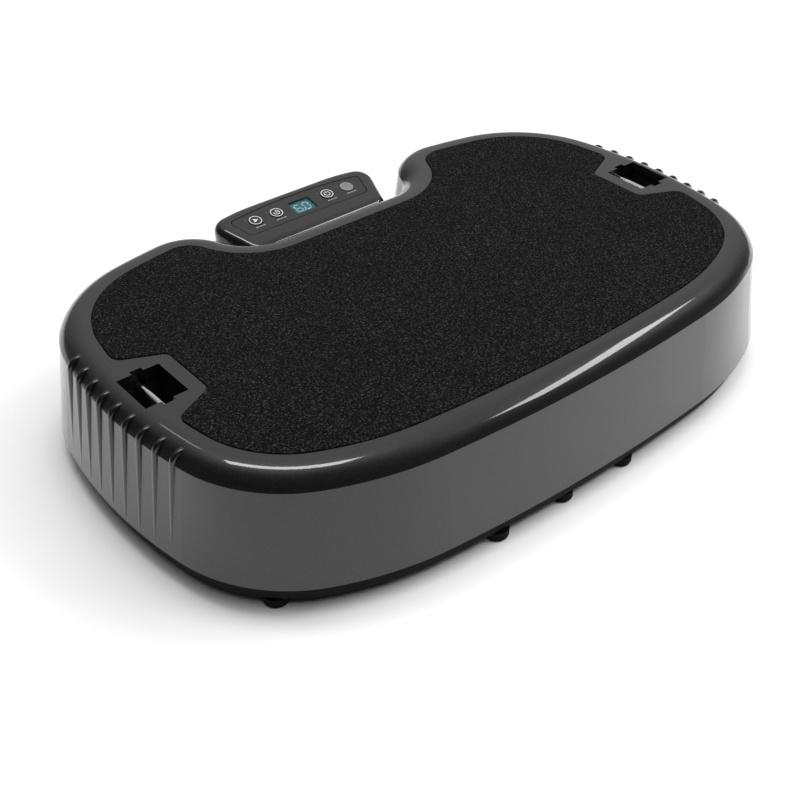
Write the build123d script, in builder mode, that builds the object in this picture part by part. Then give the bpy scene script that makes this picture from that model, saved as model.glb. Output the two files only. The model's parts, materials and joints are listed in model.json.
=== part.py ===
from build123d import *
import os
from math import atan, cos, degrees, radians, sin, sqrt

# Vibration plate, standing on its rubber feet.
# Millimetres, +Z up, +X along the length, the front wall faces -Y.
# The origin is the middle of the footprint, on the floor.

# ---------------------------------------------------------------- driving dimensions
mat_top = 130.0            # standing surface above the floor
shell_top = 129.0          # painted rim beside the mat
crease_height = 115.0      # where the rim's rounding meets the flared wall
shell_bottom = 25.0        # lower edge of the painted shell
deck_y = -5.15             # middle of the mat, measured from the origin
mat_front = 182.0          # front edge of the mat, measured from its middle
mat_thickness = 4.0
mat_gap = 0.6              # narrow groove round the mat

rim_flat = 7.0             # level part of the rim, measured outwards from the mat's edge
rim_radius = 26.0          # rounding that ends at the crease
bottom_grow = 42.5         # outline of the shell's lower edge, measured like the rim's flat
shell_wall = 3.0

# Half of the mat's outline from the middle of the front, as (radius, turn in degrees).
outline_arcs = (
    (1720.0, 5.1),         # front
    (262.0, 20.4),         # front shoulder
    (96.0, 53.1),          # front corner
    (447.0, 22.5),         # end
    (104.0, 66.2),         # rear corner
    (554.0, 5.0),          # rear
    (26.0, 78.2),          # horn beside the console
    (76.0, -70.5),         # hollow throat next to the horn
)
end_arc = 3                # place of the end arc in the list above

slot_x = 294.0             # strap slots, one near each end
slot_y = 2.0
slot_length = 40.0
slot_width = 47.5
slot_depth = 41.0
bar_radius = 4.0
bar_height = 115.0
bar_notch_width = 11.0
bar_notch_reach = 4.5
liner_wall = 2.5

fin_count = 9
fin_pitch = 20.3
fin_width = 6.0

tray_bottom = 9.5
tray_floor = 3.0
tray_grow = 37.0
tray_wall_top = 29.0
foot_radius = 11.0
foot_places = (
    (-99.5, -208.5), (-22.0, -208.5), (54.5, -208.5),      # front edge
    (-288.0, -152.0), (288.0, -152.0),                     # front corners
    (-288.0, 142.0), (288.0, 142.0),                       # rear corners
    (-168.0, 194.0), (168.0, 194.0),                       # horns
    (-60.0, 206.0), (60.0, 206.0),                         # under the console
)

console_slope = 0.185      # rise of the console's top towards the rear
console_y = 202.0          # row of keys, measured from the mat's middle
console_height = 113.0
console_wall = 3.0
console_back = 232.0
console_front = 163.0
console_half_front = 83.0
console_half_back = 104.0
console_top_wall = 4.0
console_edge_radius = 9.5
overlay_thickness = 1.3
overlay_recess = 1.5
key_radius = 7.3
key_x = (-57.5, -31.5, 33.5, 59.5)
key_names = ("play_key", "timer_key", "power_key", "mode_key")
key_clearance = 0.35
display_size = (26.0, 19.5)
display_v = -2.5
display_gap = 3.3          # display's face, below the console's top face
board_top = -11.2          # control board, below the console's top face

rail_top = 115.0
rail_height = 25.0
rail_width = 30.0
rail_wall = 2.5
rail_y = 88.0
rail_length = 470.0
cross_rail_x = 95.0
isolator_x = 205.0
isolator_radius = 19.0
isolator_plate = 2.5
pedestal_top = 46.0

motor_y = 38.0
motor_z = 50.0
motor_radius = 30.0
motor_length = 100.0
bell_thickness = 8.0
bearing_radius = 11.0
shaft_radius = 4.0
weight_radius = 26.0
weight_thickness = 14.0

rim_drop = rim_radius - shell_top + crease_height
crease_grow = rim_flat + sqrt(rim_radius**2 - rim_drop**2)
skirt_bottom = crease_height
floor_top = tray_bottom + tray_floor
rail_bottom = rail_top - rail_height
tilt = degrees(atan(console_slope))
console_plane = Plane(
    origin=(0, deck_y + console_y, console_height),
    x_dir=(1, 0, 0),
    z_dir=(0, -sin(radians(tilt)), cos(radians(tilt))),
)


# ---------------------------------------------------------------- helpers
def level(height):
    """Plane at a height, with its origin under the middle of the mat."""
    return Plane((0, deck_y, height))


def place(x, y, z):
    """Point given from the mat's middle, in the part's frame."""
    return (x, y + deck_y, z)


def half_outline(grow):
    """Draws the right half of the mat's outline grown outwards, and returns its arcs."""
    point = Vector(0, -mat_front - grow)
    heading = Vector(1, 0)
    arcs = []
    for radius, turn in outline_arcs:
        size = radius + grow if turn > 0 else radius - grow
        arc = JernArc(start=point, tangent=heading, radius=size, arc_size=turn)
        arcs.append(arc)
        point = arc @ 1
        heading = arc % 1
    Line(point, (0, point.Y))
    return arcs


def outline_face(grow, height):
    """Whole outline as a sketch at a height."""
    with BuildSketch(level(height)) as face:
        with BuildLine():
            half_outline(grow)
            mirror(about=Plane.YZ)
        make_face()
    return face.sketch


def end_edge(y):
    """Distance of the mat's end arc from the middle, at a place along the depth."""
    with BuildLine(mode=Mode.PRIVATE):
        arc = half_outline(0)[end_arc]
    centre = arc.arc_center
    return centre.X + sqrt(arc.radius**2 - (y - centre.Y) ** 2)


def slot_shape(side, grow):
    """Draws a strap slot with the two notches that let the bar in."""
    with Locations((side * slot_x, slot_y)):
        Rectangle(slot_length + 2 * grow, slot_width + 2 * grow)
        Rectangle(bar_notch_width + 2 * grow, slot_width + 2 * bar_notch_reach + 2 * grow)


def wall_grow(height):
    """Outline growth of the flared wall at a height."""
    share = (crease_height - height) / (crease_height - shell_bottom)
    return crease_grow + share * (bottom_grow - crease_grow)


def save(piece, name):
    """Labels a finished piece and writes it."""
    piece.part.label = name
    export_step(piece.part, f"parts/{name}.step")


os.makedirs("parts", exist_ok=True)


# ---------------------------------------------------------------- standing mat
bite_inner = 260.0         # the mat leaves the strap slots free
bite_half = 32.0
bite_slope = 0.47
bite_reach = 70.0


def mat_outline(gap, height):
    """Mat's outline with its two bites, grown by a gap."""
    spread = bite_half + bite_slope * bite_reach
    with BuildSketch(level(height)) as face:
        with BuildLine():
            half_outline(0)
            mirror(about=Plane.YZ)
        make_face()
        for side in (-1, 1):
            with BuildLine():
                Polyline(
                    (side * bite_inner, slot_y - bite_half),
                    (side * (bite_inner + bite_reach), slot_y - spread),
                    (side * (bite_inner + bite_reach), slot_y + spread),
                    (side * bite_inner, slot_y + bite_half),
                    close=True,
                )
            make_face(mode=Mode.SUBTRACT)
        inner = [v for v in face.vertices() if abs(abs(v.X) - bite_inner) < 0.5]
        fillet(inner, 8)
        beside = [v for v in face.vertices() if abs(v.X) > 296]
        fillet([v for v in beside if 40 < abs(v.Y - slot_y) < 62], 12)
        if gap > 0:
            offset(amount=gap)
    return face.sketch


with BuildPart() as standing_mat:
    extrude(mat_outline(0, mat_top - mat_thickness), amount=mat_thickness)
    fillet(standing_mat.edges().group_by(Axis.Z)[-1], 0.8)
save(standing_mat, "standing_mat")


# ---------------------------------------------------------------- painted shell
fin_bottom = 32.0
fin_crown = 12.0           # radius of a fin's rounded head
fin_top = mat_top - 4.0
cavity_top = 123.0
cavity_grow = crease_grow - 2 * shell_wall
cavity_radius = 7.5
rim_depth = rim_radius + 2
recess_floor = mat_top - mat_thickness


def fin(side, y):
    """One upright rib: proud below the rim, lost in the flared wall further down."""
    edge = end_edge(y)
    root = edge + 8
    head = edge + 21
    knee = (head + fin_crown, fin_top - fin_crown)
    foot = (edge + wall_grow(fin_bottom) + 0.4, fin_bottom)
    with BuildPart() as rib:
        with BuildSketch(Plane(place(0, y, 0), x_dir=(side, 0, 0), z_dir=(0, -side, 0))):
            with BuildLine():
                Line((root, fin_top), (head, fin_top))
                RadiusArc((head, fin_top), knee, fin_crown)
                Polyline(knee, foot, (root, fin_bottom), (root, fin_top))
            make_face()
        extrude(amount=fin_width / 2, both=True)
        flanks = [e for e in rib.edges() if abs(e.center().Y - deck_y - y) > fin_width / 2 - 0.01]
        crest = [e for e in flanks if abs(e.center().X) > edge + 12 and e.center().Z > 33]
        fillet(crest, 2.6)
    return rib.part


with BuildPart() as shell_cavity:
    extrude(outline_face(cavity_grow, crease_height), amount=cavity_top - crease_height)
    fillet(shell_cavity.edges().group_by(Axis.Z)[-1], cavity_radius)
    loft(
        [
            outline_face(bottom_grow - shell_wall, shell_bottom),
            outline_face(cavity_grow, crease_height),
        ],
        ruled=True,
    )

fins = [
    fin(side, slot_y + (i - (fin_count - 1) / 2) * fin_pitch)
    for side in (-1, 1)
    for i in range(fin_count)
]
with BuildPart() as shell:
    extrude(outline_face(rim_flat + rim_radius, shell_top - rim_depth), amount=rim_depth)
    fillet(shell.edges().group_by(Axis.Z)[-1], rim_radius)
    split(bisect_by=level(crease_height), keep=Keep.TOP)
    loft(
        [outline_face(bottom_grow, shell_bottom), outline_face(crease_grow, crease_height)],
        ruled=True,
    )
    add(fins)
    add(shell_cavity.part, mode=Mode.SUBTRACT)
    with BuildSketch(level(skirt_bottom)):
        for side in (-1, 1):
            slot_shape(side, liner_wall)
    extrude(amount=cavity_top + 1 - skirt_bottom)
    with BuildSketch(level(skirt_bottom - 1)):
        for side in (-1, 1):
            slot_shape(side, 0)
    extrude(amount=shell_top + 2 - skirt_bottom, mode=Mode.SUBTRACT)
    extrude(mat_outline(mat_gap, recess_floor), amount=5, mode=Mode.SUBTRACT)

# The parting line between the cover and the skirt runs along the crease.
with BuildPart() as top_cover:
    add(shell.part)
    split(bisect_by=level(crease_height), keep=Keep.TOP)
save(top_cover, "top_cover")

with BuildPart() as side_skirt:
    add(shell.part)
    split(bisect_by=level(crease_height), keep=Keep.BOTTOM)
save(side_skirt, "side_skirt")


# ---------------------------------------------------------------- strap slots and bars
for side, name in ((-1, "left"), (1, "right")):
    with BuildPart() as strap_pocket:
        with BuildSketch(level(shell_top - slot_depth)):
            slot_shape(side, liner_wall)
        extrude(amount=skirt_bottom - shell_top + slot_depth)
        with BuildSketch(level(shell_top - slot_depth + liner_wall)):
            with Locations((side * slot_x, slot_y)):
                Rectangle(slot_length, slot_width)
        extrude(amount=slot_depth, mode=Mode.SUBTRACT)
        with BuildSketch(level(bar_height - bar_radius)):
            slot_shape(side, 0)
        extrude(amount=slot_depth, mode=Mode.SUBTRACT)
    save(strap_pocket, f"strap_pocket_{name}")

    with BuildPart() as strap_bar:
        bar_length = slot_width + 2 * bar_notch_reach - 0.6
        bar_end = place(side * slot_x, slot_y - bar_length / 2, bar_height)
        with BuildSketch(Plane(bar_end, x_dir=(1, 0, 0), z_dir=(0, 1, 0))):
            Circle(bar_radius)
        extrude(amount=bar_length)
        fillet(strap_bar.edges().filter_by(GeomType.CIRCLE), 0.8)
    save(strap_bar, f"strap_bar_{name}")


# ---------------------------------------------------------------- vibrating frame
deck_thickness = cavity_top - rail_top
deck_half_length = 262.0
screw_radius = 3.0
screw_head_radius = 6.0
deck_screws_at = [(x, y) for x in (-205, -60, 60, 205) for y in (-rail_y, rail_y)]
mount_plate_size = (230.0, 160.0)
mount_plate_thickness = 5.0
mount_plate_bottom = rail_bottom - mount_plate_thickness
plate_bolts_at = [(x, y) for x in (-cross_rail_x, cross_rail_x) for y in (-60, 60)]
saddle_bolts_at = [(x, s * motor_y + y) for x in (-28, 28) for s in (-1, 1) for y in (-14, 14)]
stud_radius = 4.0
isolators_at = [(x, y) for x in (-isolator_x, isolator_x) for y in (-rail_y, rail_y)]

with BuildPart() as deck_plate:
    extrude(outline_face(-8, rail_top), amount=deck_thickness)
    with BuildSketch(level(rail_top)):
        Rectangle(2 * deck_half_length, 4 * mat_front)
    extrude(amount=deck_thickness, mode=Mode.INTERSECT)
    with Locations(level(cavity_top)):
        with Locations(deck_screws_at):
            CounterSinkHole(screw_radius + 0.2, screw_head_radius + 0.2)
save(deck_plate, "deck_plate")

with BuildPart() as long_rails:
    for y in (-rail_y, rail_y):
        with BuildSketch(Plane(place(-rail_length / 2, y, rail_bottom + rail_height / 2),
                               x_dir=(0, 1, 0), z_dir=(1, 0, 0))):
            RectangleRounded(rail_width, rail_height, 3)
            offset(amount=-rail_wall, mode=Mode.SUBTRACT)
        extrude(amount=rail_length)
    with BuildSketch(level(rail_top - rail_wall - 1)):
        with Locations(deck_screws_at):
            Circle(screw_radius + 0.05)
    extrude(amount=rail_wall + 2, mode=Mode.SUBTRACT)
    with BuildSketch(level(rail_bottom - 1)):
        with Locations(isolators_at):
            Circle(stud_radius + 0.2)
    extrude(amount=rail_wall + 2, mode=Mode.SUBTRACT)
save(long_rails, "long_rails")

with BuildPart() as cross_rails:
    cross_length = 2 * rail_y - rail_width
    for x in (-cross_rail_x, cross_rail_x):
        with BuildSketch(Plane(place(x, -cross_length / 2, rail_bottom + rail_height / 2),
                               x_dir=(1, 0, 0), z_dir=(0, 1, 0))):
            RectangleRounded(rail_width, rail_height, 3)
            offset(amount=-rail_wall, mode=Mode.SUBTRACT)
        extrude(amount=cross_length)
    with BuildSketch(level(rail_bottom - 1)):
        with Locations(plate_bolts_at):
            Circle(screw_radius + 0.05)
    extrude(amount=rail_wall + 2, mode=Mode.SUBTRACT)
save(cross_rails, "cross_rails")

with BuildPart() as motor_mount_plate:
    with BuildSketch(level(mount_plate_bottom)):
        Rectangle(*mount_plate_size)
        with Locations(plate_bolts_at + saddle_bolts_at):
            Circle(screw_radius + 0.2, mode=Mode.SUBTRACT)
    extrude(amount=mount_plate_thickness)
save(motor_mount_plate, "motor_mount_plate")

with BuildPart() as deck_screws:
    with Locations(level(cavity_top)):
        with Locations(deck_screws_at):
            Cylinder(screw_radius, 18, align=(Align.CENTER, Align.CENTER, Align.MAX))
            Cone(screw_radius, screw_head_radius, 3.0,
                 align=(Align.CENTER, Align.CENTER, Align.MAX))
save(deck_screws, "deck_screws")

with BuildPart() as drive_bolts:
    with Locations(level(mount_plate_bottom)):
        with Locations(plate_bolts_at):
            Cylinder(screw_radius, 14, align=(Align.CENTER, Align.CENTER, Align.MIN))
            Cylinder(5, 4, align=(Align.CENTER, Align.CENTER, Align.MAX))
    with Locations(level(rail_bottom)):
        with Locations(saddle_bolts_at):
            Cylinder(screw_radius, 14, align=(Align.CENTER, Align.CENTER, Align.MAX))
            Cylinder(5, 4, align=(Align.CENTER, Align.CENTER, Align.MIN))
save(drive_bolts, "drive_bolts")


# ---------------------------------------------------------------- rubber isolators
isolator_top = rail_bottom - isolator_plate
isolator_bottom = pedestal_top + isolator_plate
with BuildPart() as isolators:
    for x, y in isolators_at:
        with BuildSketch(Plane(place(x, y, 0), x_dir=(1, 0, 0), z_dir=(0, -1, 0))):
            with BuildLine():
                ThreePointArc((isolator_radius - 1, isolator_bottom),
                              (isolator_radius - 4.5, (isolator_bottom + isolator_top) / 2),
                              (isolator_radius - 1, isolator_top))
                Polyline((isolator_radius - 1, isolator_top), (0, isolator_top),
                         (0, isolator_bottom), (isolator_radius - 1, isolator_bottom))
            make_face()
        revolve(axis=Axis(place(x, y, 0), (0, 0, 1)))
save(isolators, "isolators")

with BuildPart() as isolator_base_plates:
    with Locations(level(pedestal_top)):
        with Locations(isolators_at):
            Cylinder(isolator_radius, isolator_plate, align=(Align.CENTER, Align.CENTER, Align.MIN))
            Cylinder(stud_radius, 20, align=(Align.CENTER, Align.CENTER, Align.MAX))
save(isolator_base_plates, "isolator_base_plates")

with BuildPart() as isolator_top_plates:
    with Locations(level(rail_bottom)):
        with Locations(isolators_at):
            Cylinder(isolator_radius, isolator_plate, align=(Align.CENTER, Align.CENTER, Align.MAX))
            Cylinder(stud_radius, 9, align=(Align.CENTER, Align.CENTER, Align.MIN))
save(isolator_top_plates, "isolator_top_plates")


# ---------------------------------------------------------------- vibration motors
half_motor = motor_length / 2
rotor_core_radius = 22.0
weight_start = half_motor + bell_thickness + 4


def across(x):
    """Upright plane across the motors' shafts, with its origin on the floor."""
    return Plane((x, deck_y, 0), x_dir=(0, 1, 0), z_dir=(1, 0, 0))


for side, name in ((-1, "front"), (1, "rear")):
    centre = (side * motor_y, motor_z)
    with BuildPart() as motor_can:
        with BuildSketch(across(-half_motor)):
            with Locations(centre):
                Circle(motor_radius)
        extrude(amount=motor_length)
        with BuildSketch(level(motor_z)):
            with Locations((0, side * motor_y)):
                Rectangle(80, 44)
        extrude(amount=mount_plate_bottom - motor_z)
        with BuildSketch(across(-half_motor)):
            with Locations(centre):
                Circle(motor_radius - 3)
        extrude(amount=motor_length, mode=Mode.SUBTRACT)
        with BuildSketch(level(mount_plate_bottom + 1)):
            with Locations([p for p in saddle_bolts_at if p[1] * side > 0]):
                Circle(screw_radius + 0.05)
        extrude(amount=-11, mode=Mode.SUBTRACT)
    save(motor_can, f"motor_can_{name}")

    with BuildPart() as stator:
        with BuildSketch(across(-35)):
            with Locations(centre):
                Circle(motor_radius - 3)
                Circle(rotor_core_radius + 0.8, mode=Mode.SUBTRACT)
        extrude(amount=70)
    save(stator, f"stator_{name}")

    with BuildPart() as end_bells:
        for x in (-half_motor - bell_thickness, half_motor):
            with BuildSketch(across(x)):
                with Locations(centre):
                    Circle(motor_radius)
                    Circle(bearing_radius, mode=Mode.SUBTRACT)
            extrude(amount=bell_thickness)
        rims = [e for e in end_bells.edges() if abs(e.center().X) > half_motor + 1]
        fillet([e for e in rims if e.length > 150], 2)
    save(end_bells, f"end_bells_{name}")

    with BuildPart() as bearings:
        for x in (-half_motor - bell_thickness + 0.5, half_motor + 0.5):
            with BuildSketch(across(x)):
                with Locations(centre):
                    Circle(bearing_radius)
                    Circle(shaft_radius + 0.05, mode=Mode.SUBTRACT)
            extrude(amount=bell_thickness - 1)
    save(bearings, f"bearings_{name}")

    with BuildPart() as rotor:
        with BuildSketch(across(-weight_start - weight_thickness - 3)):
            with Locations(centre):
                Circle(shaft_radius)
        extrude(amount=2 * (weight_start + weight_thickness + 3))
        with BuildSketch(across(-34)):
            with Locations(centre):
                Circle(rotor_core_radius)
        extrude(amount=68)
    save(rotor, f"rotor_{name}")

    with BuildPart() as weights:
        for x in (-weight_start - weight_thickness, weight_start):
            with BuildSketch(across(x)):
                with Locations(centre):
                    Circle(weight_radius)
                    Rectangle(60, 30, align=(Align.CENTER, Align.MIN), mode=Mode.SUBTRACT)
                    Circle(9)
                    Circle(shaft_radius, mode=Mode.SUBTRACT)
            extrude(amount=weight_thickness)
    save(weights, f"eccentric_weights_{name}")


# ---------------------------------------------------------------- base tray and feet
board_centre = (-145.0, 2.0)
board_size = (96.0, 108.0)
board_height = 20.0
standoffs_at = [
    (board_centre[0] + sx * 42, board_centre[1] + sy * 48) for sx in (-1, 1) for sy in (-1, 1)
]
cable_radius = 2.6
cable_height = floor_top + 4.5
signal_x = -58.0
mains_x = -20.0
console_screws_at = [(-81.5, 176.0), (81.5, 176.0), (-92.0, 208.0), (92.0, 208.0)]


def console_outline(grow, height):
    """Plan outline of the console pod behind the throat of the deck."""
    with BuildSketch(level(height)) as face:
        with BuildLine():
            corner = (console_half_back, console_back - 8)
            Polyline((0, console_front), (console_half_front, console_front), corner)
            TangentArc((45, console_back), corner, tangent=(1, 0))
            Line((45, console_back), (0, console_back))
            mirror(about=Plane.YZ)
        make_face()
        fillet(face.vertices().group_by(Axis.Y)[0], 13)
        wide = face.vertices().sort_by(Axis.X)
        fillet([wide[0], wide[-1]], 18)
        if grow != 0:
            offset(amount=grow)
    return face.sketch


with BuildPart() as base_tray:
    extrude(outline_face(tray_grow, tray_bottom), amount=tray_wall_top - tray_bottom)
    fillet(base_tray.edges().group_by(Axis.Z)[0], 2.5)
    extrude(outline_face(tray_grow - 3, floor_top), amount=tray_wall_top, mode=Mode.SUBTRACT)
    extrude(console_outline(-1, tray_bottom), amount=tray_floor)
    with BuildSketch(level(tray_bottom)):
        with Locations((0, 158)):
            Rectangle(140, 24)
    extrude(amount=tray_floor)
    with BuildSketch(level(floor_top)):
        with Locations(isolators_at):
            Circle(isolator_radius + 1)
    extrude(amount=pedestal_top - floor_top, taper=2)
    with BuildSketch(level(floor_top)):
        with Locations(standoffs_at):
            Circle(4)
    extrude(amount=board_height - floor_top)
    with Locations(level(pedestal_top)):
        with Locations(isolators_at):
            Hole(stud_radius + 0.2, depth=24)
    with BuildSketch(level(floor_top)):
        with Locations((signal_x, 150), (mains_x, 150)):
            Rectangle(10, 20)
    extrude(amount=9, mode=Mode.SUBTRACT)
    with BuildSketch(level(tray_bottom - 1)):
        with Locations(console_screws_at):
            Circle(1.8)
    extrude(amount=tray_floor + 2, mode=Mode.SUBTRACT)
save(base_tray, "base_tray")

with BuildPart() as rubber_feet:
    with BuildSketch(level(0)):
        with Locations(foot_places):
            Circle(foot_radius)
    extrude(amount=tray_bottom)
    fillet(rubber_feet.edges().group_by(Axis.Z)[0], 2.5)
save(rubber_feet, "rubber_feet")


# ---------------------------------------------------------------- power board
with BuildPart() as power_board:
    with BuildSketch(level(board_height)):
        with Locations(board_centre):
            Rectangle(*board_size)
    extrude(amount=1.6)
save(power_board, "power_board")

with BuildPart() as heat_sink:
    with BuildSketch(level(board_height + 1.6)):
        with Locations((board_centre[0] - 30, board_centre[1] - 20)):
            Rectangle(24, 50)
    extrude(amount=4)
    with BuildSketch(level(board_height + 5.6)):
        with Locations((board_centre[0] - 30, board_centre[1] - 20)):
            with GridLocations(5, 0, 5, 1):
                Rectangle(1.6, 50)
    extrude(amount=18)
save(heat_sink, "heat_sink")

with BuildPart() as capacitors:
    with BuildSketch(level(board_height + 1.6)):
        with Locations((board_centre[0] + 8, board_centre[1] - 34),
                       (board_centre[0] + 8, board_centre[1] - 10)):
            Circle(9)
    extrude(amount=24)
    fillet(capacitors.edges().group_by(Axis.Z)[-1], 1)
save(capacitors, "capacitors")

with BuildPart() as transformer:
    with BuildSketch(level(board_height + 1.6)):
        with Locations((board_centre[0] - 12, board_centre[1] + 30)):
            Rectangle(38, 32)
    extrude(amount=26)
    chamfer(transformer.edges().group_by(Axis.Z)[-1], 1.5)
save(transformer, "transformer")


# ---------------------------------------------------------------- console housing
def overlay_outline(gap, below):
    """Outline of the printed panel in the console's sloping top."""
    with BuildSketch(console_plane.offset(-below)) as face:
        with BuildLine():
            Polyline((-82, 10), (-74, -17.5), (74, -17.5), (82, 10))
            ThreePointArc((82, 10), (0, 16.5), (-82, 10))
        make_face()
        fillet(face.vertices(), 4)
        if gap > 0:
            offset(amount=gap)
    return face.sketch


def key_holes(below, radius):
    """Circles at the four keys."""
    with BuildSketch(console_plane.offset(-below)) as face:
        with Locations([(x, 0) for x in key_x]):
            Circle(radius)
    return face.sketch


rear_wall = Plane(place(0, console_back, 0), x_dir=(-1, 0, 0), z_dir=(0, 1, 0))
inlet_at = (26.0, 45.0)
switch_at = (-22.0, 45.0)
inlet_body = (27.0, 20.0)
switch_body = (13.0, 19.0)
boss_places = ((-75.0, -4.0), (75.0, -4.0))

with BuildPart() as console_cavity:
    extrude(console_outline(-console_wall, floor_top), amount=115)
    split(bisect_by=console_plane.offset(-console_top_wall), keep=Keep.BOTTOM)
    ceiling = [e for e in console_cavity.edges()
               if abs(console_plane.to_local_coords(e.center()).Z + console_top_wall) < 0.01]
    fillet(ceiling, console_edge_radius - console_wall)

with BuildPart() as console_housing:
    extrude(console_outline(0, floor_top), amount=115)
    split(bisect_by=console_plane, keep=Keep.BOTTOM)
    top = [e for e in console_housing.edges()
           if abs(console_plane.to_local_coords(e.center()).Z) < 0.01]
    fillet(top, console_edge_radius)
    add(console_cavity.part, mode=Mode.SUBTRACT)
    extrude(overlay_outline(0.9, overlay_recess), amount=4, mode=Mode.SUBTRACT)
    extrude(key_holes(10, key_radius + key_clearance), amount=12, mode=Mode.SUBTRACT)
    with BuildSketch(console_plane.offset(-6)):
        with Locations((0, display_v)):
            Rectangle(display_size[0] + 3.4, display_size[1] + 3.4)
    extrude(amount=6, mode=Mode.SUBTRACT)
    with BuildSketch(console_plane.offset(board_top)):
        with Locations(boss_places):
            Circle(3)
    extrude(amount=-board_top - console_top_wall)
    with BuildSketch(rear_wall.offset(1)):
        with Locations(inlet_at):
            Rectangle(inlet_body[0] + 0.4, inlet_body[1] + 0.4)
        with Locations(switch_at):
            Rectangle(switch_body[0] + 0.4, switch_body[1] + 0.4)
    extrude(amount=-6, mode=Mode.SUBTRACT)
    with BuildSketch(level(floor_top)):
        with Locations(console_screws_at):
            Circle(4.5)
    extrude(amount=22)
    with BuildSketch(level(floor_top)):
        with Locations(console_screws_at):
            Circle(1.7)
    extrude(amount=14, mode=Mode.SUBTRACT)
    with BuildSketch(level(floor_top)):
        with Locations((signal_x, console_front), (mains_x, console_front)):
            Rectangle(10, 12)
    extrude(amount=9, mode=Mode.SUBTRACT)
save(console_housing, "console_housing")

with BuildPart() as console_screws:
    with Locations(level(tray_bottom)):
        with Locations(console_screws_at):
            Cylinder(1.6, 14, align=(Align.CENTER, Align.CENTER, Align.MIN))
            Cylinder(3.4, 2.4, align=(Align.CENTER, Align.CENTER, Align.MAX))
save(console_screws, "console_screws")

with BuildPart() as console_overlay:
    extrude(overlay_outline(0, overlay_recess), amount=overlay_thickness)
    extrude(key_holes(overlay_recess + 1, key_radius + key_clearance), amount=4,
            mode=Mode.SUBTRACT)
    with BuildSketch(console_plane.offset(-overlay_recess - 1)):
        with Locations((0, display_v)):
            RectangleRounded(*display_size, 1)
    extrude(amount=4, mode=Mode.SUBTRACT)
save(console_overlay, "console_overlay")

with BuildPart() as display_lens:
    with BuildSketch(console_plane.offset(-3)):
        with Locations((0, display_v)):
            Rectangle(display_size[0] + 3, display_size[1] + 3)
    extrude(amount=3 - overlay_recess)
save(display_lens, "display_lens")

with BuildPart() as display_module:
    with BuildSketch(console_plane.offset(board_top)):
        with Locations((0, display_v)):
            Rectangle(display_size[0] + 2, display_size[1] + 2)
    extrude(amount=-board_top - display_gap)
save(display_module, "display_module")

with BuildPart() as control_board:
    with BuildSketch(console_plane.offset(board_top)):
        with Locations((0, -4)):
            Rectangle(160, 26)
    extrude(amount=-1.6)
save(control_board, "control_board")

with BuildPart() as key_switches:
    with BuildSketch(console_plane.offset(board_top)):
        with Locations([(x, 0) for x in key_x]):
            Rectangle(6, 6)
    extrude(amount=3)
    with BuildSketch(console_plane.offset(board_top + 3)):
        with Locations([(x, 0) for x in key_x]):
            Circle(1.7)
    extrude(amount=0.4)
save(key_switches, "key_switches")

key_proud = 0.7
key_skirt = 3.5
key_stem = 7.0
for x, name in zip(key_x, key_names):
    with BuildPart() as key:
        with BuildSketch(console_plane.offset(-key_skirt)):
            with Locations((x, 0)):
                Circle(key_radius)
        extrude(amount=key_skirt + key_proud)
        fillet(key.edges().sort_by(Axis.Z)[-1], 0.35)
        with BuildSketch(console_plane.offset(-key_stem)):
            with Locations((x, 0)):
                Circle(2.4)
        extrude(amount=key_stem - key_skirt)
    save(key, name)


# ---------------------------------------------------------------- power inlet and switch
socket_size = (24.0, 17.0)
socket_depth = 15.0
pin_places = ((0.0, 4.0), (-7.0, -1.0), (7.0, -1.0))
with BuildPart() as power_inlet:
    with BuildSketch(rear_wall):
        with Locations(inlet_at):
            RectangleRounded(inlet_body[0] + 4, inlet_body[1] + 5, 2)
    extrude(amount=2)
    with BuildSketch(rear_wall):
        with Locations(inlet_at):
            Rectangle(*inlet_body)
    extrude(amount=-20)
    with BuildSketch(rear_wall.offset(2)):
        with Locations(inlet_at):
            RectangleRounded(*socket_size, 2)
    extrude(amount=-socket_depth, mode=Mode.SUBTRACT)
save(power_inlet, "power_inlet")

with BuildPart() as inlet_pins:
    with BuildSketch(rear_wall.offset(2 - socket_depth)):
        with Locations(inlet_at):
            with Locations(pin_places):
                Rectangle(2, 4)
    extrude(amount=socket_depth - 4)
save(inlet_pins, "inlet_pins")

rocker_width = 8.6
rocker_radius = 7.5
rocker_tilt = 8.0
pivot_depth = 1.0          # pivot line, inside the console's rear face
pin_radius = 1.2
pivot_point = place(-switch_at[0], console_back - pivot_depth, switch_at[1])
pivot_plane = Plane(pivot_point, x_dir=(0, 1, 0), z_dir=(1, 0, 0))
rocked_plane = Plane(
    pivot_point,
    x_dir=(0, cos(radians(rocker_tilt)), sin(radians(rocker_tilt))),
    z_dir=(1, 0, 0),
)
with BuildPart() as switch_bezel:
    with BuildSketch(rear_wall):
        with Locations(switch_at):
            RectangleRounded(switch_body[0] + 2.4, switch_body[1] + 3, 1.5)
    extrude(amount=2)
    with BuildSketch(rear_wall):
        with Locations(switch_at):
            Rectangle(*switch_body)
    extrude(amount=-16)
    with BuildSketch(rear_wall.offset(2)):
        with Locations(switch_at):
            Rectangle(rocker_width + 0.8, 2 * rocker_radius + 0.8)
    extrude(amount=-12, mode=Mode.SUBTRACT)
    with BuildSketch(pivot_plane):
        Circle(pin_radius + 0.05)
    extrude(amount=rocker_width / 2 + 1.6, both=True, mode=Mode.SUBTRACT)
save(switch_bezel, "switch_bezel")

with BuildPart() as switch_rocker:
    with BuildSketch(rocked_plane):
        Circle(rocker_radius)
        with BuildLine():
            Polyline((-3.5, -9), (3.2, -9), (1.8, 0), (3.2, 9), (-3.5, 9), close=True)
        make_face(mode=Mode.INTERSECT)
    extrude(amount=rocker_width / 2, both=True)
    with BuildSketch(pivot_plane):
        Circle(pin_radius)
    extrude(amount=rocker_width / 2 + 1.5, both=True)
save(switch_rocker, "switch_rocker")


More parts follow.
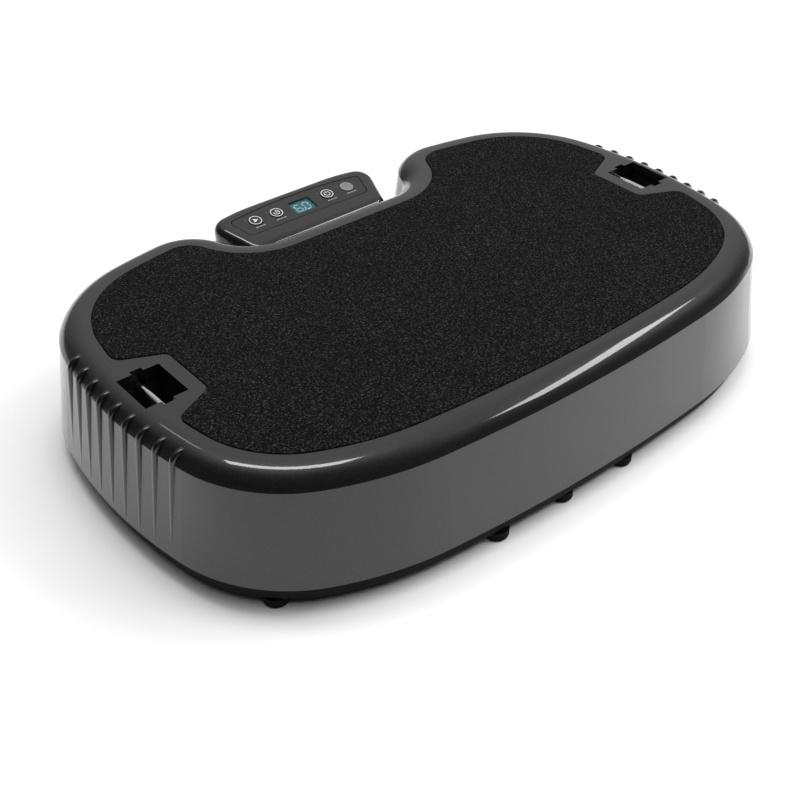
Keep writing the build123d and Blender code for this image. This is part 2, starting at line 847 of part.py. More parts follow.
# ---------------------------------------------------------------- cables inside
def cable(points, radii):
    """Round cable along straight runs joined by tangent arcs."""
    with BuildPart() as run:
        with BuildLine():
            path = FilletPolyline(*[place(*p) for p in points], radius=radii)
        with BuildSketch(Plane(path @ 0, z_dir=path % 0)):
            Circle(cable_radius)
        sweep()
    return run


signal_cable = cable(
    ((signal_x, 195, 95), (signal_x, 195, cable_height), (signal_x, 112, cable_height),
     (-140, 112, cable_height), (-140, 60, cable_height)),
    (16, 16, 16),
)
save(signal_cable, "signal_cable")

mains_cable = cable(
    ((mains_x, 200, 34), (mains_x, 200, cable_height), (mains_x, 98, cable_height),
     (-120, 98, cable_height), (-120, 60, cable_height)),
    (14, 16, 16),
)
save(mains_cable, "mains_cable")
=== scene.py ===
import json
import math

import bmesh
import bpy
from mathutils import Matrix, Quaternion, Vector


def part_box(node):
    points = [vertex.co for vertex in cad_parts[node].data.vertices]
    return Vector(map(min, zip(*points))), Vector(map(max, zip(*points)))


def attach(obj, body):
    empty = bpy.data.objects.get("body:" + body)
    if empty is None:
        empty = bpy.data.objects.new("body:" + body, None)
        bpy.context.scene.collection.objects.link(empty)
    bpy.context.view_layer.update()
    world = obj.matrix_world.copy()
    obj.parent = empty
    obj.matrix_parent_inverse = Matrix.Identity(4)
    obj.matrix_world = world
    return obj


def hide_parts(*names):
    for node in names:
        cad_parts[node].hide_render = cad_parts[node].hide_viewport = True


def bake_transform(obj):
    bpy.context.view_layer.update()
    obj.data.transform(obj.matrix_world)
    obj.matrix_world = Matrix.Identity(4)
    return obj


# Vibration plate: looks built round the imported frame. Metres, +Z up, the front wall faces -Y.
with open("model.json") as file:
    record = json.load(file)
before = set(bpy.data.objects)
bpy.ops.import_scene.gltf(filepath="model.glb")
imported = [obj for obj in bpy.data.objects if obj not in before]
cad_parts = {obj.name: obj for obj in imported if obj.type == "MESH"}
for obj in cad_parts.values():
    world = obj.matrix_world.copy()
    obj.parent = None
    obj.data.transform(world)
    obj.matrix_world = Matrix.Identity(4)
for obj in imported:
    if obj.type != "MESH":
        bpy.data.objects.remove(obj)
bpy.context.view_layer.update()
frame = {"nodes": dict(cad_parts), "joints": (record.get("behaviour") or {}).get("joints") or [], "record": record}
nodes = frame["nodes"]
MM = 0.001

# ---------------------------------------------------------------- camera
CAMERA_AT = (-0.6568, -0.7587, 0.7286)
CAMERA_AZIMUTH = math.radians(-39.625)
CAMERA_ELEVATION = math.radians(37.022)
CAMERA_LENS = 55.7
CAMERA_SHIFT = -0.0018

camera_data = bpy.data.cameras.new("camera")
camera_data.lens = CAMERA_LENS
camera_data.sensor_width = 36.0
camera_data.shift_y = CAMERA_SHIFT
camera_data.clip_start = 0.05
camera_data.clip_end = 60.0
camera = bpy.data.objects.new("camera", camera_data)
camera.location = CAMERA_AT
towards_camera = Vector(
    (
        math.sin(CAMERA_AZIMUTH) * math.cos(CAMERA_ELEVATION),
        -math.cos(CAMERA_AZIMUTH) * math.cos(CAMERA_ELEVATION),
        math.sin(CAMERA_ELEVATION),
    )
)
camera.rotation_mode = "QUATERNION"
camera.rotation_quaternion = (-towards_camera).to_track_quat("-Z", "Y")
bpy.context.scene.collection.objects.link(camera)
bpy.context.scene.camera = camera
bpy.context.scene.view_settings.view_transform = "Standard"


# ---------------------------------------------------------------- node helpers
class Shader:
    """A node material with a Principled surface, patterned in the object's own coordinates."""

    def __init__(self, name, **constants):
        self.material = bpy.data.materials.new(name)
        self.material.use_nodes = True
        self.tree = self.material.node_tree
        self.surface = next(n for n in self.tree.nodes if n.type == "BSDF_PRINCIPLED")
        self.place = self.tree.nodes.new("ShaderNodeTexCoord").outputs["Object"]
        for socket, value in constants.items():
            self.surface.inputs[socket.replace("_", " ")].default_value = value

    def link(self, output, socket):
        self.tree.links.new(output, socket)

    def stretched(self, scale):
        """The coordinates scaled by a different amount along each axis."""
        mapping = self.tree.nodes.new("ShaderNodeMapping")
        mapping.inputs["Scale"].default_value = scale
        self.link(self.place, mapping.inputs["Vector"])
        return mapping.outputs["Vector"]

    def noise(self, size, detail=2.0, roughness=0.5, along=None):
        """Noise with features of a size in metres."""
        node = self.tree.nodes.new("ShaderNodeTexNoise")
        node.inputs["Scale"].default_value = 1.0 / size
        node.inputs["Detail"].default_value = detail
        node.inputs["Roughness"].default_value = roughness
        self.link(self.place if along is None else self.stretched(along), node.inputs["Vector"])
        return node.outputs["Fac"]

    def cells(self, size, output="Color"):
        """Cells of a size in metres, as a random value each or as the distance to their middle."""
        node = self.tree.nodes.new("ShaderNodeTexVoronoi")
        node.inputs["Scale"].default_value = 1.0 / size
        self.link(self.place, node.inputs["Vector"])
        return node.outputs[output]

    def ramp(self, fac, *stops):
        """Colours or greys at places along a value."""
        node = self.tree.nodes.new("ShaderNodeValToRGB")
        marks = node.color_ramp.elements
        while len(marks) < len(stops):
            marks.new(0.5)
        for mark, (place, colour) in zip(marks, stops):
            mark.position = place
            mark.color = grey(colour) if isinstance(colour, float) else (*colour, 1.0)
        self.link(fac, node.inputs["Fac"])
        return node.outputs["Color"]

    def mix(self, fac, first, second, blend="MIX"):
        """Two colours mixed by a share that is a number or a pattern."""
        node = self.tree.nodes.new("ShaderNodeMix")
        node.data_type = "RGBA"
        node.blend_type = blend
        for value, socket in ((fac, 0), (first, 6), (second, 7)):
            if isinstance(value, bpy.types.NodeSocket):
                self.link(value, node.inputs[socket])
            else:
                node.inputs[socket].default_value = value
        return node.outputs[2]

    def add(self, first, second, share=1.0):
        """first + share x second."""
        node = self.tree.nodes.new("ShaderNodeMath")
        node.operation = "MULTIPLY_ADD"
        self.link(second, node.inputs[0])
        node.inputs[1].default_value = share
        self.link(first, node.inputs[2])
        return node.outputs[0]

    def colour(self, output):
        self.link(output, self.surface.inputs["Base Color"])
        return self

    def roughness(self, output, low, high):
        """Roughness that follows a pattern between two values."""
        node = self.tree.nodes.new("ShaderNodeMapRange")
        node.inputs["To Min"].default_value = low
        node.inputs["To Max"].default_value = high
        self.link(output, node.inputs["Value"])
        self.link(node.outputs["Result"], self.surface.inputs["Roughness"])
        return self

    def bump(self, height, depth, strength=1.0):
        """Relief of a depth in metres."""
        node = self.tree.nodes.new("ShaderNodeBump")
        node.inputs["Strength"].default_value = strength
        node.inputs["Distance"].default_value = depth
        self.link(height, node.inputs["Height"])
        self.link(node.outputs["Normal"], self.surface.inputs["Normal"])
        return self


def grey(value):
    return (value, value, value, 1.0)


def tinted(colour, factor):
    return tuple(min(1.0, c * factor) for c in colour)


# ---------------------------------------------------------------- materials
def metallic_paint():
    """Graphite paint with fine flakes under a clear coat."""
    s = Shader("graphite_paint", Metallic=0.5, Roughness=0.42, Coat_Weight=0.95, Coat_Roughness=0.05)
    flakes = s.ramp(
        s.cells(0.0004),
        (0.0, (0.003, 0.0031, 0.0034)),
        (0.6, (0.009, 0.0092, 0.0096)),
        (0.94, (0.024, 0.0247, 0.0255)),
        (1.0, (0.1, 0.1, 0.103)),
    )
    cloud = s.ramp(s.noise(0.06, 3.0), (0.3, 0.93), (0.7, 1.0))
    s.colour(s.mix(1.0, flakes, cloud, "MULTIPLY"))
    s.roughness(s.noise(0.0012), 0.36, 0.46)
    return s.bump(s.add(s.cells(0.0006, "Distance"), s.noise(0.004), 0.4), 0.00003, 0.4).material


def grit_rubber():
    """Black rubber with a coarse non-slip grit."""
    s = Shader("grit_rubber", Specular_IOR_Level=0.12)
    dust = s.ramp(
        s.noise(0.0018, 3.0, 0.75),
        (0.42, (0.001, 0.001, 0.0012)),
        (0.54, (0.0055, 0.0055, 0.0057)),
        (0.68, (0.055, 0.055, 0.056)),
    )
    specks = s.ramp(s.cells(0.0019), (0.0, 0.0), (0.9, 0.0), (0.95, 1.0))
    patch = s.ramp(s.noise(0.05, 4.0), (0.3, 0.8), (0.7, 1.0))
    s.colour(s.mix(1.0, s.mix(specks, dust, (0.04, 0.04, 0.041, 1.0)), patch, "MULTIPLY"))
    s.roughness(s.noise(0.002), 0.75, 0.95)
    grit = s.add(s.cells(0.0013, "Distance"), s.noise(0.0006, 3.0), 0.6)
    return s.bump(grit, 0.0006, 0.9).material


def moulded(name, colour, rough, grain=0.0009, depth=0.00006, **constants):
    """Moulded plastic or rubber with a fine spark-eroded grain."""
    s = Shader(name, **constants)
    s.colour(s.ramp(s.noise(0.012, 5.0, 0.6), (0.3, tinted(colour, 0.82)), (0.7, tinted(colour, 1.15))))
    s.roughness(s.noise(0.005, 4.0), rough - 0.07, rough + 0.07)
    return s.bump(s.noise(grain, 3.0), depth, 0.8).material


def metal(name, colour, rough, brushed=(1.0, 1.0, 1.0), depth=0.00002):
    """Bare metal with fine tool marks, drawn out where brushed is uneven."""
    s = Shader(name, Metallic=1.0)
    marks = s.noise(0.0012, 4.0, 0.6, brushed)
    s.colour(s.ramp(marks, (0.3, tinted(colour, 0.86)), (0.7, tinted(colour, 1.08))))
    s.roughness(s.add(marks, s.noise(0.02, 3.0)), rough * 0.55, rough * 0.95)
    return s.bump(marks, depth, 0.7).material


def patterned(name, size, stops, rough, depth, **constants):
    """Surface coloured by random cells."""
    s = Shader(name, **constants)
    s.colour(s.ramp(s.cells(size), *stops))
    s.roughness(s.noise(size * 2, 3.0), rough - 0.08, rough + 0.08)
    return s.bump(s.cells(size, "Distance"), depth, 0.7).material


def glass_lens():
    s = Shader("display_glass", Transmission_Weight=1.0, IOR=1.45)
    s.colour(s.ramp(s.noise(0.01), (0.3, (0.86, 0.93, 0.94)), (0.7, (0.93, 0.97, 0.98))))
    return s.roughness(s.noise(0.003), 0.01, 0.04).material


def backlight():
    """Teal backlight whose brightness varies a little at random."""
    s = Shader("display_backlight", Emission_Strength=1.0)
    glow = s.ramp(s.noise(0.012, 2.0), (0.25, (0.0015, 0.032, 0.045)), (0.75, (0.003, 0.055, 0.07)))
    s.colour(glow).roughness(s.noise(0.001), 0.4, 0.5)
    s.link(glow, s.surface.inputs["Emission Color"])
    return s.material


def printed(name, colour, rough=0.45, glow=0.0):
    """Screen-printed ink."""
    s = Shader(name, Emission_Strength=glow)
    ink = s.ramp(s.noise(0.0006, 3.0), (0.3, tinted(colour, 0.88)), (0.7, colour))
    s.colour(ink).roughness(s.noise(0.0008), rough - 0.05, rough + 0.05)
    s.link(ink, s.surface.inputs["Emission Color"])
    return s.bump(s.noise(0.0004), 0.00001, 0.5).material


ZINC_SPANGLE = ((0.0, (0.42, 0.43, 0.45)), (1.0, (0.62, 0.63, 0.66)))
COPPER_TURNS = ((0.0, (0.32, 0.09, 0.03)), (1.0, (0.62, 0.22, 0.08)))
BOARD_GREENS = ((0.0, (0.006, 0.05, 0.02)), (1.0, (0.02, 0.11, 0.045)))

MATERIALS = {
    "mat": grit_rubber(),
    "shell": metallic_paint(),
    "black_plastic": moulded("black_plastic", (0.012, 0.012, 0.013), 0.42),
    "chrome": metal("chrome", (0.78, 0.79, 0.8), 0.12, depth=0.000004),
    "aluminium": metal("aluminium", (0.55, 0.56, 0.57), 0.5, (1.0, 12.0, 12.0)),
    "frame_paint": moulded("frame_paint", (0.03, 0.032, 0.035), 0.35, 0.0015, 0.00008, Coat_Weight=0.4),
    "steel": metal("steel", (0.42, 0.42, 0.43), 0.42, (14.0, 1.0, 1.0)),
    "zinc": patterned("zinc", 0.0011, ZINC_SPANGLE, 0.4, 0.00002, Metallic=1.0),
    "isolator_rubber": moulded("isolator_rubber", (0.018, 0.018, 0.019), 0.62, 0.0007),
    "motor_paint": moulded("motor_paint", (0.022, 0.023, 0.025), 0.3, 0.002, 0.00009, Coat_Weight=0.5),
    "winding": patterned("winding", 0.0012, COPPER_TURNS, 0.35, 0.0002, Metallic=0.8),
    "cast_weight": moulded("cast_weight", (0.09, 0.088, 0.085), 0.55, 0.0012, 0.0002, Metallic=0.8),
    "tray_plastic": moulded("tray_plastic", (0.003, 0.003, 0.0032), 0.6, 0.0008, 0.00009,
                            Specular_IOR_Level=0.15),
    "foot_rubber": moulded("foot_rubber", (0.004, 0.004, 0.004), 0.75, 0.0006, 0.00007,
                           Specular_IOR_Level=0.15),
    "circuit_board": patterned("circuit_board", 0.0032, BOARD_GREENS, 0.35, 0.00003, Coat_Weight=0.5),
    "capacitor_sleeve": moulded("capacitor_sleeve", (0.012, 0.015, 0.05), 0.3, 0.002, 0.00003),
    "transformer_tape": moulded("transformer_tape", (0.5, 0.34, 0.04), 0.4, 0.0015, 0.00006),
    "overlay": moulded("overlay", (0.024, 0.0225, 0.022), 0.5, 0.0005, 0.00003, Coat_Weight=0.2,
                       Coat_Roughness=0.3, Specular_IOR_Level=0.3),
    "lens": glass_lens(),
    "display": backlight(),
    "key": moulded("key", (0.008, 0.008, 0.0085), 0.3, 0.0006, 0.00002, Coat_Weight=0.4),
    "mode_key": moulded("mode_key", (0.2, 0.2, 0.2), 0.42, 0.0006, 0.00003),
    "brass": metal("brass", (0.75, 0.55, 0.25), 0.3),
    "rocker_plastic": moulded("rocker_plastic", (0.01, 0.01, 0.0105), 0.3),
    "cable_sheath": moulded("cable_sheath", (0.014, 0.014, 0.014), 0.5),
}

for part in frame["record"]["subparts"]:
    mesh = nodes[part["node"]].data
    mesh.materials.clear()
    mesh.materials.append(MATERIALS[part["material_slot"]])

INK_WHITE = printed("ink_white", (0.6, 0.6, 0.59))
INK_GREY = printed("ink_grey", (0.36, 0.35, 0.34))
INK_DARK = printed("ink_dark", (0.09, 0.09, 0.09))
DIGITS = printed("digits", (0.14, 0.5, 0.55), glow=0.45)
# Near-black ring material with almost no gloss: painted shade that fills the groove round the overlay.
GROOVE_SHADE_RING = moulded("groove_shade_ring", (0.0015, 0.0015, 0.0015), 0.8, 0.0006, Specular_IOR_Level=0.05)

# ---------------------------------------------------------------- console plane
CONSOLE_SLOPE = 0.185
LENS_V = -2.5 * MM          # lens's middle, in front of the row of keys
LENS_W = -2.25 * MM         # the same, under the console's top face
tilt = math.atan(CONSOLE_SLOPE)
along_u = Vector((1, 0, 0))
along_v = Vector((0, math.cos(tilt), math.sin(tilt)))
along_w = Vector((0, -math.sin(tilt), math.cos(tilt)))


def middle(node):
    low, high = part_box(node)
    return (low + high) / 2


console_origin = middle("display_lens") - LENS_V * along_v - LENS_W * along_w
CONSOLE = Matrix.Translation(console_origin) @ Matrix((along_u, along_v, along_w)).transposed().to_4x4()


def new_piece(name, mesh, matrix=None):
    """Object made from a bmesh, with its faces turned outwards."""
    bmesh.ops.recalc_face_normals(mesh, faces=mesh.faces)
    if matrix is not None:
        mesh.transform(matrix)
    data = bpy.data.meshes.new(name)
    mesh.to_mesh(data)
    mesh.free()
    piece = bpy.data.objects.new(name, data)
    bpy.context.scene.collection.objects.link(piece)
    return piece


def solid_prisms(name, shapes, bottom, top, matrix):
    """Closed prisms from plan outlines. A shape is (outer,) or (outer, hole) with equal counts."""
    mesh = bmesh.new()
    for shape in shapes:
        rings = [
            [[mesh.verts.new((u, v, w)) for u, v in loop] for loop in shape]
            for w in (bottom, top)
        ]
        count = len(shape[0])
        for k in range(count):
            n = (k + 1) % count
            for ring_low, ring_high in zip(*rings):
                mesh.faces.new((ring_low[k], ring_low[n], ring_high[n], ring_high[k]))
            if len(shape) == 2:
                for level in rings:
                    mesh.faces.new((level[0][k], level[0][n], level[1][n], level[1][k]))
        if len(shape) == 1:
            mesh.faces.new(rings[0][0])
            mesh.faces.new(rings[1][0])
    return new_piece(name, mesh, matrix)


def circle(radius, u=0.0, v=0.0, count=48):
    return [
        (u + radius * math.cos(2 * math.pi * k / count), v + radius * math.sin(2 * math.pi * k / count))
        for k in range(count)
    ]


def annulus(outer, inner, u=0.0, v=0.0):
    return (circle(outer, u, v), circle(inner, u, v))


def arc_band(radius, width, start, end, u=0.0, v=0.0, count=28):
    """Part of a ring between two angles in degrees."""
    angles = [math.radians(start + (end - start) * k / count) for k in range(count + 1)]
    outer, inner = (
        [(u + reach * math.cos(a), v + reach * math.sin(a)) for a in angles]
        for reach in (radius + width / 2, radius - width / 2)
    )
    return (outer + inner[::-1],)


def bar(start, end, width):
    """Straight stroke between two points."""
    line = Vector((end[0] - start[0], end[1] - start[1])).normalized()
    side = Vector((-line.y, line.x)) * width / 2
    return (
        [
            (start[0] + side.x, start[1] + side.y),
            (start[0] - side.x, start[1] - side.y),
            (end[0] - side.x, end[1] - side.y),
            (end[0] + side.x, end[1] + side.y),
        ],
    )


def finish_piece(piece, body, material):
    piece.data.materials.append(material)
    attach(piece, body)


# ---------------------------------------------------------------- keys' printed marks
KEY_U = {"play": -57.5 * MM, "timer": -31.5 * MM, "power": 33.5 * MM, "mode": 59.5 * MM}
KEY_TOP = 0.7 * MM
INK = 0.06 * MM
RING = (6.8 * MM, 5.9 * MM)
PLAY_MARK = [(-2.1 * MM, -2.9 * MM), (3.2 * MM, 0.0), (-2.1 * MM, 2.9 * MM)]
CLOCK_ARC = (3.0 * MM, 1.0 * MM, -200, 90)      # radius, width, start and end in degrees
CLOCK_HANDS = ((0.0, 2.1 * MM), (1.6 * MM, 0.0))
CLOCK_STROKE = 0.8 * MM
POWER_ARC = (3.2 * MM, 0.95 * MM, 125, 415)
POWER_BAR = (0.6 * MM, 4.1 * MM)
POWER_STROKE = 0.95 * MM
DOT_RADIUS = 0.42 * MM
DOT_PITCH = 1.75 * MM
DOT_ROW = DOT_PITCH * 0.87
DOT_FIELD = 5.4 * MM


def key_marks():
    u = KEY_U["play"]
    play = [annulus(*RING, u), ([(u + du, v) for du, v in PLAY_MARK],)]
    u = KEY_U["timer"]
    timer = [annulus(*RING, u), arc_band(*CLOCK_ARC, u)]
    timer += [bar((u, 0.0), (u + du, v), CLOCK_STROKE) for du, v in CLOCK_HANDS]
    u = KEY_U["power"]
    power = [annulus(*RING, u), arc_band(*POWER_ARC, u)]
    power.append(bar((u, POWER_BAR[0]), (u, POWER_BAR[1]), POWER_STROKE))
    for name, shapes in (("play", play), ("timer", timer), ("power", power)):
        piece = solid_prisms(f"{name}_key_marks", shapes, KEY_TOP, KEY_TOP + INK, CONSOLE)
        finish_piece(piece, f"{name}_button", INK_WHITE)
    spots = [((i + 0.5 * (j % 2)) * DOT_PITCH, j * DOT_ROW) for j in range(-3, 4) for i in range(-4, 4)]
    u = KEY_U["mode"]
    dots = [(circle(DOT_RADIUS, u + du, v, 12),) for du, v in spots if math.hypot(du, v) < DOT_FIELD]
    piece = solid_prisms("mode_key_marks", dots, KEY_TOP, KEY_TOP + INK, CONSOLE)
    finish_piece(piece, "mode_button", INK_DARK)


key_marks()

# ---------------------------------------------------------------- overlay's printed marks
OVERLAY_TOP = -0.2 * MM
DASHES = ((-6.0 * MM, -2.6 * MM), (-1.8 * MM, 1.2 * MM), (2.0 * MM, 5.6 * MM))
DASH_V = -9.9 * MM
DASH_WIDTH = 1.0 * MM
LAMP_RADIUS = 0.9 * MM
LAMP_BESIDE_KEY = (-8.6 * MM, 6.0 * MM)


def overlay_marks():
    dashes = [
        bar((u + start, DASH_V), (u + end, DASH_V), DASH_WIDTH)
        for u in KEY_U.values()
        for start, end in DASHES
    ]
    piece = solid_prisms("overlay_dashes", dashes, OVERLAY_TOP, OVERLAY_TOP + INK, CONSOLE)
    finish_piece(piece, "base", INK_GREY)
    lamps = [
        (circle(LAMP_RADIUS, u + LAMP_BESIDE_KEY[0], LAMP_BESIDE_KEY[1], 20),) for u in KEY_U.values()
    ]
    piece = solid_prisms("overlay_lamps", lamps, OVERLAY_TOP, OVERLAY_TOP + INK, CONSOLE)
    finish_piece(piece, "base", INK_DARK)


overlay_marks()

# ---------------------------------------------------------------- near-black ring in the overlay's groove, painted shade
OVERLAY_CORNERS = ((-82.0, 10.0), (-74.0, -17.5), (74.0, -17.5), (82.0, 10.0))
OVERLAY_CROWN = 16.5
OVERLAY_ROUNDING = 4.0
GROOVE = (0.03, 0.87)       # inner and outer side of the groove round the overlay
GROOVE_SHADE_RING_DEPTH = (-1.5, -0.35)


def rounded(corners, radius, count=8):
    """Polygon with its corners rounded."""
    points = []
    for k, corner in enumerate(corners):
        here = Vector(corner)
        before = (Vector(corners[k - 1]) - here).normalized()
        after = (Vector(corners[(k + 1) % len(corners)]) - here).normalized()
        half = before.angle(after) / 2
        if half > math.radians(80):
            points.append(here)
            continue
        start = here + before * radius / math.tan(half)
        centre = here + (before + after).normalized() * radius / math.sin(half)
        sweep = (here + after * radius / math.tan(half) - centre).angle_signed(start - centre)
        spoke = start - centre
        points += [centre + Matrix.Rotation(sweep * i / count, 2) @ spoke for i in range(count + 1)]
    return points


def grown(points, amount):
    """Closed outline moved outwards; the outline runs anticlockwise."""
    moved = []
    for k, here in enumerate(points):
        along = (points[(k + 1) % len(points)] - points[k - 1]).normalized()
        moved.append((here + Vector((along.y, -along.x)) * amount) * MM)
    return [tuple(p) for p in moved]


def groove_shade_ring():
    half, base = OVERLAY_CORNERS[3]
    rise = OVERLAY_CROWN - base
    bow = (half * half + rise * rise) / (2 * rise)
    steps = 16
    crown = []
    for k in range(1, steps):
        u = half - 2 * half * k / steps
        crown.append((u, math.sqrt(bow * bow - u * u) - bow + OVERLAY_CROWN))
    outline = rounded(OVERLAY_CORNERS + tuple(crown), OVERLAY_ROUNDING)
    # Near-black ring set down in the groove round the overlay, as painted shade of the groove.
    ring = (grown(outline, GROOVE[1]), grown(outline, GROOVE[0]))
    piece = solid_prisms("overlay_groove_shade_ring", [ring], GROOVE_SHADE_RING_DEPTH[0] * MM, GROOVE_SHADE_RING_DEPTH[1] * MM, CONSOLE)
    finish_piece(piece, "base", GROOVE_SHADE_RING)


groove_shade_ring()

# ---------------------------------------------------------------- display digits
SEGMENTS = {"6": "acdefg", "0": "abcdef"}
DIGIT_SIZE = (6.4 * MM, 11.0 * MM)
DIGIT_U = (-4.9 * MM, 5.1 * MM)
POINT_RADIUS = 0.95 * MM
POINT_AT = (0.1 * MM, -5.4 * MM)        # decimal point, from the middle of the lens
STROKE = 1.35 * MM
DISPLAY_TOP = -3.3 * MM


def digit(character, u, v):
    """Seven-segment digit with its middle at (u, v)."""
    w, h, s = DIGIT_SIZE[0] / 2, DIGIT_SIZE[1] / 2, STROKE
    gap = s * 0.62
    lines = {
        "a": ((-w + gap, h), (w - gap, h)),
        "b": ((w, h - gap), (w, gap)),
        "c": ((w, -gap), (w, -h + gap)),
        "d": ((-w + gap, -h), (w - gap, -h)),
        "e": ((-w, -gap), (-w, -h + gap)),
        "f": ((-w, h - gap), (-w, gap)),
        "g": ((-w + gap, 0.0), (w - gap, 0.0)),
    }
    return [
        bar((u + lines[k][0][0], v + lines[k][0][1]), (u + lines[k][1][0], v + lines[k][1][1]), s)
        for k in SEGMENTS[character]
    ]


digits = digit("6", DIGIT_U[0], LENS_V) + digit("0", DIGIT_U[1], LENS_V)
digits.append((circle(POINT_RADIUS, POINT_AT[0], LENS_V + POINT_AT[1], 16),))
piece = solid_prisms("display_digits", digits, DISPLAY_TOP, DISPLAY_TOP + INK, CONSOLE)
finish_piece(piece, "base", DIGITS)

# ---------------------------------------------------------------- rubber isolators
ISOLATOR_RADIUS = 18.0 * MM
ISOLATOR_WAIST = 0.9        # width at mid height, against the ends
WAIST_RINGS = 10


def isolator_column(name, centre, radius, low, high):
    """Rubber column with a slight waist."""
    mesh = bmesh.new()
    rings = []
    for k in range(WAIST_RINGS + 1):
        share = k / WAIST_RINGS
        width = radius * (1 - (1 - ISOLATOR_WAIST) * math.sin(math.pi * share))
        height = low + (high - low) * share
        rings.append([mesh.verts.new((*spot, height)) for spot in circle(width, centre.x, centre.y)])
    for lower, upper in zip(rings, rings[1:]):
        for k in range(len(lower)):
            n = (k + 1) % len(lower)
            mesh.faces.new((lower[k], lower[n], upper[n], upper[k]))
    mesh.faces.new(rings[0])
    mesh.faces.new(rings[-1])
    piece = new_piece(name, mesh)
    piece.data.materials.append(MATERIALS["isolator_rubber"])
    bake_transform(piece)
    return piece


def isolators():
    low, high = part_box("isolators")
    radius = ISOLATOR_RADIUS
    columns = []
    for end, x in (("left", low.x + radius), ("right", high.x - radius)):
        for side, y in (("front", low.y + radius), ("rear", high.y - radius)):
            name = f"isolator_{end}_{side}"
            columns.append(isolator_column(name, Vector((x, y, 0)), radius, low.z, high.z))
    for column in columns:
        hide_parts("isolators")


isolators()

# ---------------------------------------------------------------- mains rocker's marks
ROCKER_TILT = math.radians(8.0)
ROCKER_MARK_AT = 3.7 * MM               # marks, above and below the pivot
ROCKER_SLOPE = 1.4 / 9.0                # rise of each half of the face away from its middle
ROCKER_FACE_AT = 1.8 * MM + ROCKER_MARK_AT * ROCKER_SLOPE
MARK_SUNK = -0.02 * MM
ON_MARK = [((0, -1.1 * MM), (0, 1.1 * MM), 0.5 * MM)]
OFF_MARK = (1.2 * MM, 0.75 * MM)


def rocker_marks():
    pivot = Vector(next(j for j in frame["joints"] if j["name"] == "mains_rocker")["pos_m"])
    across = Vector((-1, 0, 0))
    outward = Vector((0, math.cos(ROCKER_TILT), math.sin(ROCKER_TILT)))
    upward = Vector((0, -math.sin(ROCKER_TILT), math.cos(ROCKER_TILT)))
    on = [bar(*stroke) for stroke in ON_MARK]
    for name, side, shapes in (("on", 1, on), ("off", -1, [annulus(*OFF_MARK)])):
        turn = Matrix.Rotation(side * math.atan(ROCKER_SLOPE), 3, "X")
        axes = Matrix((across, turn @ upward, turn @ outward)).transposed().to_4x4()
        spot = pivot + outward * ROCKER_FACE_AT + upward * side * ROCKER_MARK_AT
        piece = solid_prisms(
            f"rocker_mark_{name}", shapes, MARK_SUNK, INK, Matrix.Translation(spot) @ axes
        )
        finish_piece(piece, "rocker", INK_WHITE)


rocker_marks()

# ---------------------------------------------------------------- studio
FLOOR_HALF = 14.0
BACKDROP_TOWARDS = (0.45, 0.54, 0.71)
BACKDROP = ((0.0, 0.03), (0.5, 0.06), (0.78, 0.35), (1.0, 0.62))      # brightness by nearness


def floor():
    mesh = bmesh.new()
    bmesh.ops.create_grid(mesh, x_segments=2, y_segments=2, size=FLOOR_HALF)
    data = bpy.data.meshes.new("studio_floor")
    mesh.to_mesh(data)
    mesh.free()
    ground = bpy.data.objects.new("studio_floor", data)
    bpy.context.scene.collection.objects.link(ground)
    s = Shader("studio_floor", Specular_IOR_Level=0.2)
    s.colour(s.ramp(s.noise(1.5, 3.0), (0.3, 0.86), (0.7, 0.9))).roughness(s.noise(0.5), 0.75, 0.85)
    data.materials.append(s.material)


def area_light(name, place, target, size, power, turn=0.0, glossy=True):
    data = bpy.data.lights.new(name, "AREA")
    data.shape = "RECTANGLE"
    data.size, data.size_y = size
    data.energy = power
    lamp = bpy.data.objects.new(name, data)
    lamp.location = place
    lamp.rotation_mode = "QUATERNION"
    facing = (Vector(target) - Vector(place)).to_track_quat("-Z", "Y")
    lamp.rotation_quaternion = facing @ Quaternion((0, 0, 1), math.radians(turn))
    lamp.visible_glossy = glossy
    bpy.context.scene.collection.objects.link(lamp)


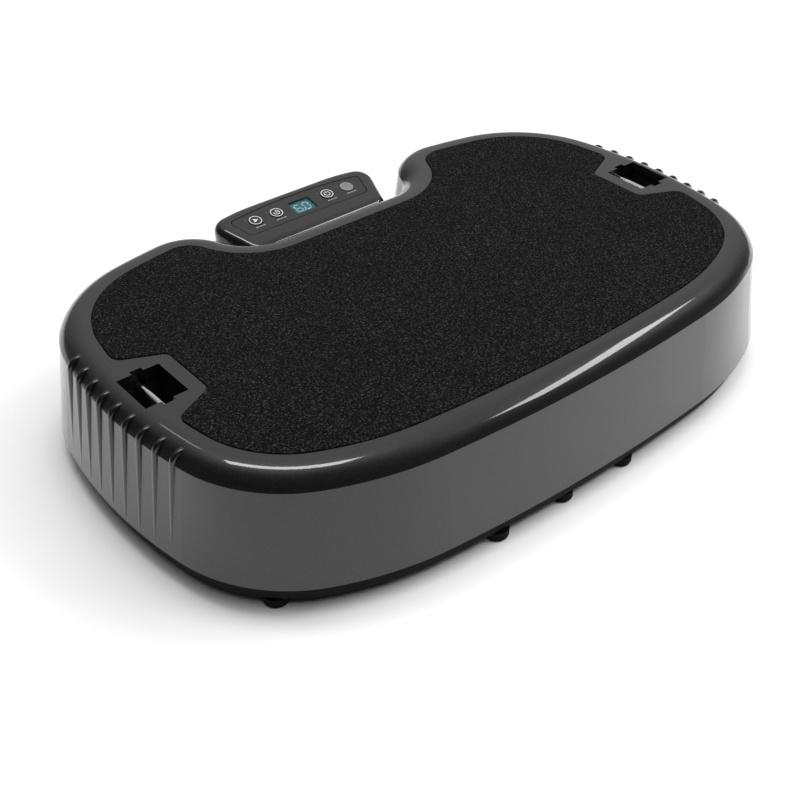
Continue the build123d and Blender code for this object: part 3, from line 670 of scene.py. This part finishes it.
def sky_light(strength, angle):
    data = bpy.data.lights.new("ceiling_fill", "SUN")
    data.energy = strength
    data.angle = math.radians(angle)
    lamp = bpy.data.objects.new("ceiling_fill", data)
    lamp.rotation_euler = (math.radians(8), math.radians(10), 0)
    lamp.visible_glossy = False
    bpy.context.scene.collection.objects.link(lamp)


def studio_world():
    """Pale room to look at. For reflections it is dark, with a bright backdrop behind the object."""
    world = bpy.data.worlds.new("studio")
    world.use_nodes = True
    tree = world.node_tree
    tree.nodes.clear()
    place = tree.nodes.new("ShaderNodeTexCoord")
    facing = tree.nodes.new("ShaderNodeVectorMath")
    ramp = tree.nodes.new("ShaderNodeValToRGB")
    room = tree.nodes.new("ShaderNodeBackground")
    pale = tree.nodes.new("ShaderNodeBackground")
    path = tree.nodes.new("ShaderNodeLightPath")
    mix = tree.nodes.new("ShaderNodeMixShader")
    out = tree.nodes.new("ShaderNodeOutputWorld")
    facing.operation = "DOT_PRODUCT"
    facing.inputs[1].default_value = BACKDROP_TOWARDS
    while len(ramp.color_ramp.elements) < len(BACKDROP):
        ramp.color_ramp.elements.new(0.5)
    for mark, (where, value) in zip(ramp.color_ramp.elements, BACKDROP):
        mark.position = where
        mark.color = grey(value)
    pale.inputs["Color"].default_value = grey(0.95)
    tree.links.new(place.outputs["Generated"], facing.inputs[0])
    tree.links.new(facing.outputs["Value"], ramp.inputs["Fac"])
    tree.links.new(ramp.outputs["Color"], room.inputs["Color"])
    tree.links.new(path.outputs["Is Camera Ray"], mix.inputs[0])
    tree.links.new(room.outputs[0], mix.inputs[1])
    tree.links.new(pale.outputs[0], mix.inputs[2])
    tree.links.new(mix.outputs[0], out.inputs["Surface"])
    bpy.context.scene.world = world


floor()
studio_world()
sky_light(1.8, 70)
area_light(
    "zenith_box", place=(-0.13, 0.33, 2.0), target=(-0.13, 0.33, 0.0), size=(1.15, 0.34), power=15, turn=-47
)
area_light("front_box", place=(1.65, -0.78, 2.0), target=(0.2, -0.1, 0.1), size=(1.5, 0.36), power=18)
area_light("rear_lamp", place=(-0.3, 1.47, 2.0), target=(-0.3, 0.0, 0.1), size=(0.14, 0.3), power=0.45)
area_light(
    "floor_wash", place=(1.3, -1.0, 1.7), target=(0.9, -0.8, 0.0), size=(1.2, 1.2), power=11, glossy=False
)
